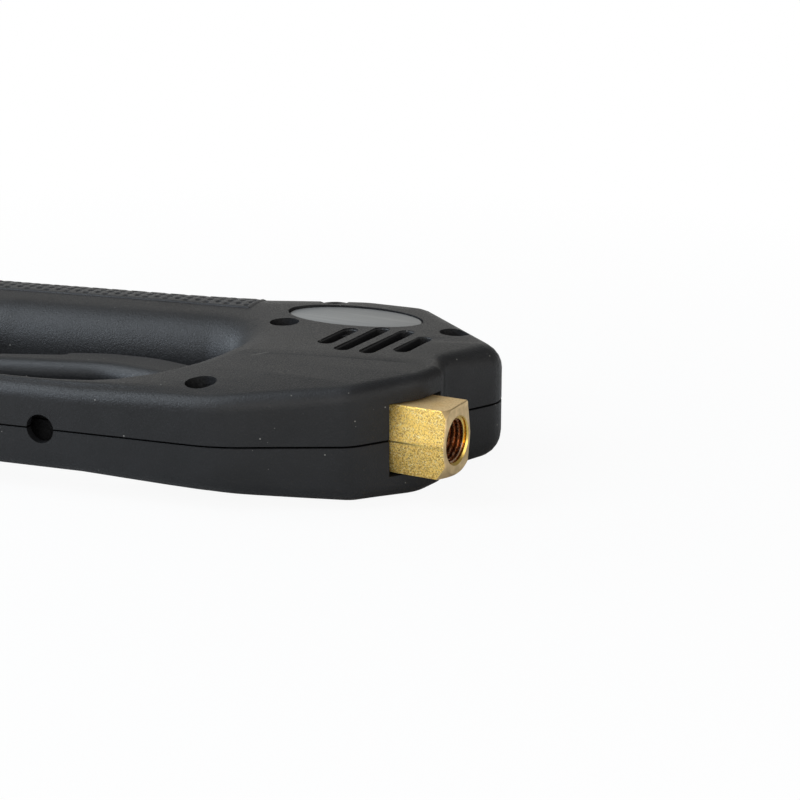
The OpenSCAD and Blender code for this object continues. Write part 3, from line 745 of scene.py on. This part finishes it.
class GUN_OT_inlet(bpy.types.Operator):
    """Makes the inlet fitting with its cut thread"""
    bl_idname = "gun.inlet"
    bl_label = "Inlet fitting"

    def execute(self, context):
        fitting = copy_of("inlet_fitting", "inlet_nut")
        flatten(fitting)
        cutter = thread_cutter("inlet_cutter", INLET_THREAD)
        cut(fitting, aim(cutter, REARWARDS, on_grip(INLET_END, 0)))
        smooth(fitting, 28)
        finish_piece(fitting, "housing", look("turned"), "turned_brass", "inlet_fitting")
        return {"FINISHED"}


def pad_height_at(along, across, length, width):
    """Height of the pad, 0 in a dimple and at the pad's edge and 1 on a ridge or on the rim"""
    housing = bpy.context.scene.gun_housing
    rim = min(along, length - along, across, width - across)
    # the dimples stand in columns across the pad, and every other column is half a row lower
    column = 2 * along / housing.pad_pitch
    row = across / housing.pad_row + 0.5 * (math.floor(column) % 2)
    dx = (column % 1 - 0.5) * housing.pad_pitch / 2
    dy = (row % 1 - 0.5) * housing.pad_row
    off = math.hypot(dx / PAD_DIMPLE[0], dy / PAD_DIMPLE[1])
    wall = held((off - PAD_WALL) / PAD_WALL)
    edge = held(1.0 - (rim - PAD_RIM) / PAD_STEP)
    # the height falls off at the outer edges, but not at the seam, where the two halves meet
    ease = held(min(along, length - along, across) / (1.5 * PAD_STEP))
    return max(wall * wall * (3 - 2 * wall), edge) * ease


class GUN_OT_grip_pads(bpy.types.Operator):
    """Makes the dimpled pad round the back of the grip, one half to each shell"""
    bl_idname = "gun.grip_pads"
    bl_label = "Grip pads"

    def execute(self, context):
        length = PAD_REAR - PAD_FRONT
        columns = round(length / PAD_STEP)
        rows = round(PAD_WIDTH / PAD_STEP)
        for side, level in SIDES:
            shell = NODES[side + "_housing"].data
            tree = BVHTree.FromPolygons([v.co for v in shell.vertices],
                                        [tuple(p.vertices) for p in shell.polygons])
            rings = [self.ring(tree, PAD_FRONT + length * i / columns, level, rows)
                     for i in range(columns + 1)]
            self.build(side + "_grip_pad", rings, length)
        return {"FINISHED"}

    def ring(self, tree, s, level, rows):
        """Points and normals across the grip's back at equal steps, from the flat face to the seam"""
        near = PAD_NEAR - PAD_LEAN * (s - PAD_FRONT)
        centre = on_grip(s, near, level * PAD_LEVEL)
        found = []
        for k in range(PAD_RAYS + 1):
            angle = math.radians(90 * (1 - k / PAD_RAYS))
            out = BACKWARDS * math.cos(angle) + Vector((0, 0, level * math.sin(angle)))
            found.append(tree.ray_cast(centre + out * RAY_START, -out)[:2])
        lengths = [0.0]
        for (a, _), (b, _) in zip(found, found[1:]):
            lengths.append(lengths[-1] + (b - a).length)
        stops = []
        j = 0
        for i in range(rows + 1):
            goal = lengths[-1] * i / rows
            while j < len(lengths) - 2 and lengths[j + 1] < goal:
                j += 1
            t = (goal - lengths[j]) / max(1e-9, lengths[j + 1] - lengths[j])
            (place, normal), (next_place, next_normal) = found[j], found[j + 1]
            stops.append((place.lerp(next_place, t), normal.lerp(next_normal, t).normalized()))
        return stops, lengths[-1]

    def build(self, name, rings, length):
        """The pad as a closed mesh, its outside raised by the pattern and its inside sunk in the shell"""
        height = bpy.context.scene.gun_housing.pad_height
        columns = len(rings)
        rows = len(rings[0][0])
        top = []
        under = []
        low = []
        for i, (stops, width) in enumerate(rings):
            along = length * i / (columns - 1)
            for j, (place, normal) in enumerate(stops):
                share = pad_height_at(along, width * j / (rows - 1), length, width)
                top.append(place + normal * height * (PAD_BOTTOM + (1 - PAD_BOTTOM) * share))
                low.append(share < 0.5)
                under.append(place - normal * PAD_SUNK)
        count = len(top)
        faces = []
        for i in range(columns - 1):
            for j in range(rows - 1):
                a = i * rows + j
                faces.append((a, a + 1, a + 1 + rows, a + rows))
                faces.append((count + a, count + a + rows, count + a + 1 + rows, count + a + 1))
        edge = ([i * rows for i in range(columns)]
                + [(columns - 1) * rows + j for j in range(1, rows)]
                + [i * rows + rows - 1 for i in range(columns - 2, -1, -1)]
                + list(range(rows - 2, 0, -1)))
        for a, b in zip(edge, edge[1:] + edge[:1]):
            faces.append((a, b, count + b, count + a))
        pad = closed_piece(name, top + under, faces)
        smooth(pad, 50)
        finish_piece(pad, "housing", look("pad"), "housing_plastic")
        # painted shade: the faces down in the dimples get the darker finish
        pad.data.materials.append(look("dimple"))
        for face in pad.data.polygons:
            corners = [v for v in face.vertices if v < count]
            if len(corners) == 4 and sum(low[v] for v in corners) >= 3:
                face.material_index = 1


def vent_easing(name, x, span, level):
    """What rounding the edge of a vent takes off the flat face"""
    points = []
    faces = []
    sides = 32
    steps = 6
    for k in range(steps + 2):
        angle = math.radians(90 * min(k, steps) / steps)
        spread = VENT_WIDTH / 2 + VENT_ROUND * (1 - math.cos(angle))
        height = HEAD_HALF - VENT_ROUND * (1 - math.sin(angle)) + (OVERSHOOT if k > steps else 0.0)
        for i in range(sides):
            turn = 2 * math.pi * (i + 0.5) / sides
            end = span[1] - VENT_WIDTH / 2 if math.sin(turn) > 0 else span[0] + VENT_WIDTH / 2
            points.append((x + spread * math.cos(turn), end + spread * math.sin(turn), level * height))
    for k in range(steps + 1):
        for i in range(sides):
            a, b = k * sides + i, k * sides + (i + 1) % sides
            faces.append((a, b, b + sides, a + sides))
    faces += [tuple(range(sides)), tuple(range((steps + 1) * sides, (steps + 2) * sides))]
    return closed_piece(name, points, faces)


class GUN_OT_shells(bpy.types.Operator):
    """Makes the two moulded shells smooth, with rounded edges on their vents"""
    bl_idname = "gun.shells"
    bl_label = "Housing shells"

    def execute(self, context):
        for side, level in SIDES:
            shell = copy_of(side + "_housing", side + "_shell")
            for i, span in enumerate(VENT_SPANS):
                cut(shell, vent_easing("vent_easing", VENT_START + i * VENT_PITCH, span, level))
            smooth(shell, 34)
            finish_piece(shell, "housing", look("shell"), "housing_plastic", side + "_housing")
        return {"FINISHED"}


class GUN_OT_plates(bpy.types.Operator):
    """Makes the two blank oval plates with eased edges"""
    bl_idname = "gun.plates"
    bl_label = "Nameplates"

    def execute(self, context):
        for side, _ in SIDES:
            plate = copy_of(side + "_nameplate", side + "_plate")
            flatten(plate)
            bevel(plate, 0.00015)
            smooth(plate, 40)
            finish_piece(plate, "housing", look("plate"), "plate_metal", side + "_nameplate")
        return {"FINISHED"}


class GUN_OT_trigger(bpy.types.Operator):
    """Makes the trigger and its safety catch"""
    bl_idname = "gun.trigger"
    bl_label = "Trigger and catch"

    def execute(self, context):
        blade = copy_of("trigger", "trigger_lever")
        line = self.pulled_side(blade)
        flatten(blade)
        cut(blade, self.rounding("rounding", line))
        smooth(blade, 40)
        finish_piece(blade, "trigger", look("trigger"), "trigger_plastic", "trigger")
        catch = copy_of("safety_catch", "catch_lever")
        flatten(catch)
        bevel(catch, 0.0003)
        smooth(catch, 40)
        finish_piece(catch, "safety_catch", look("trigger"), "catch_plastic", "safety_catch")
        return {"FINISHED"}

    def pulled_side(self, blade):
        """The points along the side that the fingers pull, rear to front"""
        line = [v.co.copy() for v in blade.data.vertices
                if abs(v.co.z - BLADE_HALF) < 0.00001 and BLADE_SIDE[0] < v.co.x < BLADE_SIDE[1]
                and v.co.y < BLADE_FRONT + BLADE_SLOPE * min(0.0, v.co.x - BLADE_BEND)]
        line.sort(key=lambda p: p.x)
        # the rear end runs on straight
        line.insert(0, line[0] + (line[0] - line[1]).normalized() * BLADE_RUN_ON)
        return line

    def rounding(self, name, line):
        """What the rounding takes off both edges of the blade, swept along its side"""
        steps = 10
        profile = [(-OVERSHOOT, BLADE_HALF - BLADE_ROUND)]
        for k in range(steps + 1):
            # the arc stops short of a quarter turn, so that it crosses both sides at an angle
            angle = math.radians(4 + 82 * k / steps)
            profile.append((BLADE_ROUND * (1 - math.cos(angle)),
                            BLADE_HALF - BLADE_ROUND * (1 - math.sin(angle))))
        profile += [(BLADE_ROUND, BLADE_HALF + OVERSHOOT), (-OVERSHOOT, BLADE_HALF + OVERSHOOT)]
        points = []
        faces = []
        count = len(profile)
        for level in (-1, 1):
            first = len(points)
            for k, place in enumerate(line):
                way = (line[min(k + 1, len(line) - 1)] - line[max(k - 1, 0)]).normalized()
                inward = Vector((-way.y, way.x, 0))
                for depth, height in profile:
                    points.append((place.x + inward.x * depth, place.y + inward.y * depth, level * height))
            last = len(points) - count
            faces += [tuple(range(first, first + count)), tuple(range(last, last + count))]
            for a in range(first, last):
                b = a + 1 if (a - first) % count < count - 1 else a + 1 - count
                faces.append((a, a + count, b + count, b))
        return closed_piece(name, points, faces)


class GUN_OT_finishes(bpy.types.Operator):
    """Gives each solid that stays as it is a finish of its own"""
    bl_idname = "gun.finishes"
    bl_label = "Finishes of the inner pieces"

    def execute(self, context):
        finishes = {
            "screw": ("housing_screws",),
            "steel": ("trigger_pivot_pin", "safety_catch_pin", "valve_seat", "valve_ball", "push_stem",
                      "inlet_tube"),
            "wire": ("valve_spring",),
            "turned": ("valve_plug", "gland_screw"),
            "copper": ("plug_washer",),
            "rubber": ("seat_o_ring", "stem_seal", "tube_o_ring", "fitting_o_ring"),
            "white": ("backup_ring",),
        }
        for finish, nodes in finishes.items():
            for node in nodes:
                for slot in NODES[node].material_slots:
                    slot.material = look(finish)
        return {"FINISHED"}


# ---- Floor, light and camera

def floor_material(colour):
    """Matt under the lamps, and glowing white to the camera and, far from the gun, to what mirrors it"""
    s = Shade("floor_white", colour, 0.9, specular=0.1)
    glow = s.node("ShaderNodeEmission", {"Color": (1, 1, 1, 1), "Strength": 1.0}).outputs[0]
    paths = s.node("ShaderNodeLightPath").outputs
    mirrored = s.math("MAXIMUM", paths["Is Glossy Ray"], paths["Is Transmission Ray"])
    # close to the gun the camera also sees a little of its shadow
    away = s.distance(s.moved((-FLOOR_MIDDLE[0], -FLOOR_MIDDLE[1], 0.0)))
    share = s.math("ADD", s.times(paths["Is Camera Ray"], s.span(away, 0.12, 0.4, 0.93, 1.0)),
                   s.times(mirrored, s.span(s.distance(), 0.13, 0.22)), clamp=True)
    both = s.node("ShaderNodeMixShader", {0: share, 1: s.surface.outputs[0], 2: glow}).outputs[0]
    s.tree.links.new(both, s.tree.nodes["Material Output"].inputs["Surface"])
    return s.material


def daylight(strength):
    """A warm even sky that the camera sees as plain white"""
    world = bpy.data.worlds.new("daylight")
    world.use_nodes = True
    tree = world.node_tree
    tree.nodes.clear()
    mixer = tree.nodes.new("ShaderNodeMixShader")
    paths = tree.nodes.new("ShaderNodeLightPath")
    tree.links.new(paths.outputs["Is Camera Ray"], mixer.inputs[0])
    skies = (((1.0, 0.985, 0.95, 1.0), strength), ((1.0, 1.0, 1.0, 1.0), 1.0))
    for index, (colour, power) in enumerate(skies, 1):
        sky = tree.nodes.new("ShaderNodeBackground")
        sky.inputs["Color"].default_value = colour
        sky.inputs["Strength"].default_value = power
        tree.links.new(sky.outputs[0], mixer.inputs[index])
    output = tree.nodes.new("ShaderNodeOutputWorld")
    tree.links.new(mixer.outputs[0], output.inputs["Surface"])
    return world


def stand(name, data, place, direction):
    """Places a lamp or a camera, looking along the direction"""
    obj = bpy.data.objects.new(name, data)
    bpy.context.scene.collection.objects.link(obj)
    obj.location = place
    obj.rotation_euler = Vector(direction).to_track_quat("-Z", "Y").to_euler()
    return obj


class GUN_OT_stage(bpy.types.Operator):
    """Sets up the floor, the light and the camera"""
    bl_idname = "gun.stage"
    bl_label = "Stage"

    def execute(self, context):
        scene = context.scene
        stage = scene.gun_stage
        floor = primitive(bpy.ops.mesh.primitive_plane_add, "floor", size=FLOOR_SIZE,
                          location=(*FLOOR_MIDDLE, CAD_BOX[0][2] - FLOOR_DROP))
        settle(floor)
        floor.data.materials.append(floor_material(tuple(stage.floor_colour)))
        scene.world = daylight(stage.sky)
        # name, place, size, power and colour
        lamps = (
            ("top_lamp", (-0.48, -0.26, 0.78), 0.72, stage.top_light, (0.84, 0.92, 1.0)),
            ("low_lamp", (-0.70, -0.64, 0.42), 0.34, stage.low_light, (0.78, 0.88, 1.0)),
            ("back_lamp", (-0.55, 0.80, 0.36), 0.8, stage.back_light, (1.0, 0.98, 0.92)),
            ("front_lamp", (0.30, -0.80, 0.42), 0.6, stage.front_light, (1.0, 0.99, 0.97)),
            ("right_lamp", (0.85, -0.10, 0.30), 0.6, stage.front_light * 0.7, (1.0, 0.98, 0.95)),
            ("left_lamp", (-0.93, 0.04, 0.30), 0.4, stage.side_light, (0.80, 0.90, 1.0)),
        )
        for name, place, size, power, colour in lamps:
            lamp = bpy.data.lights.new(name, "AREA")
            lamp.shape = "SQUARE"
            lamp.size = size
            lamp.energy = power
            lamp.color = colour
            stand(name, lamp, place, LAMP_AIM - Vector(place))
        camera = bpy.data.cameras.new("camera")
        camera.lens = CAMERA_LENS
        camera.sensor_width = CAMERA_SENSOR
        camera.clip_start = 0.01
        camera.clip_end = 20.0
        scene.camera = stand("camera", camera, CAMERA_PLACE, CAMERA_AIM)
        scene.view_settings.view_transform = "Standard"
        return {"FINISHED"}


# ---- The add-on

OPERATORS = (GUN_OT_stage, GUN_OT_shells, GUN_OT_grip_pads, GUN_OT_plates, GUN_OT_outlet, GUN_OT_inlet,
             GUN_OT_trigger, GUN_OT_finishes)
GROUPS = (HousingLook, BrassLook, StageLook)


class GUN_PT_panel(bpy.types.Panel):
    """Lists the pieces of the trigger gun"""
    bl_idname = "GUN_PT_panel"
    bl_label = "Trigger Gun"
    bl_space_type = "VIEW_3D"
    bl_region_type = "UI"
    bl_category = "Trigger Gun"

    def draw(self, context):
        for operator in OPERATORS:
            self.layout.operator(operator.bl_idname)
        for group in (context.scene.gun_housing, context.scene.gun_brass, context.scene.gun_stage):
            fields = self.layout.box()
            for name in group.__annotations__:
                fields.prop(group, name)


def register():
    for item in (*GROUPS, *OPERATORS, GUN_PT_panel):
        bpy.utils.register_class(item)
    bpy.types.Scene.gun_housing = PointerProperty(type=HousingLook)
    bpy.types.Scene.gun_brass = PointerProperty(type=BrassLook)
    bpy.types.Scene.gun_stage = PointerProperty(type=StageLook)


def unregister():
    del bpy.types.Scene.gun_stage
    del bpy.types.Scene.gun_brass
    del bpy.types.Scene.gun_housing
    for item in reversed((*GROUPS, *OPERATORS, GUN_PT_panel)):
        bpy.utils.unregister_class(item)


def main():
    register()
    for operator in OPERATORS:
        getattr(bpy.ops.gun, operator.bl_idname.removeprefix("gun."))()


if __name__ == "__main__":
    main()
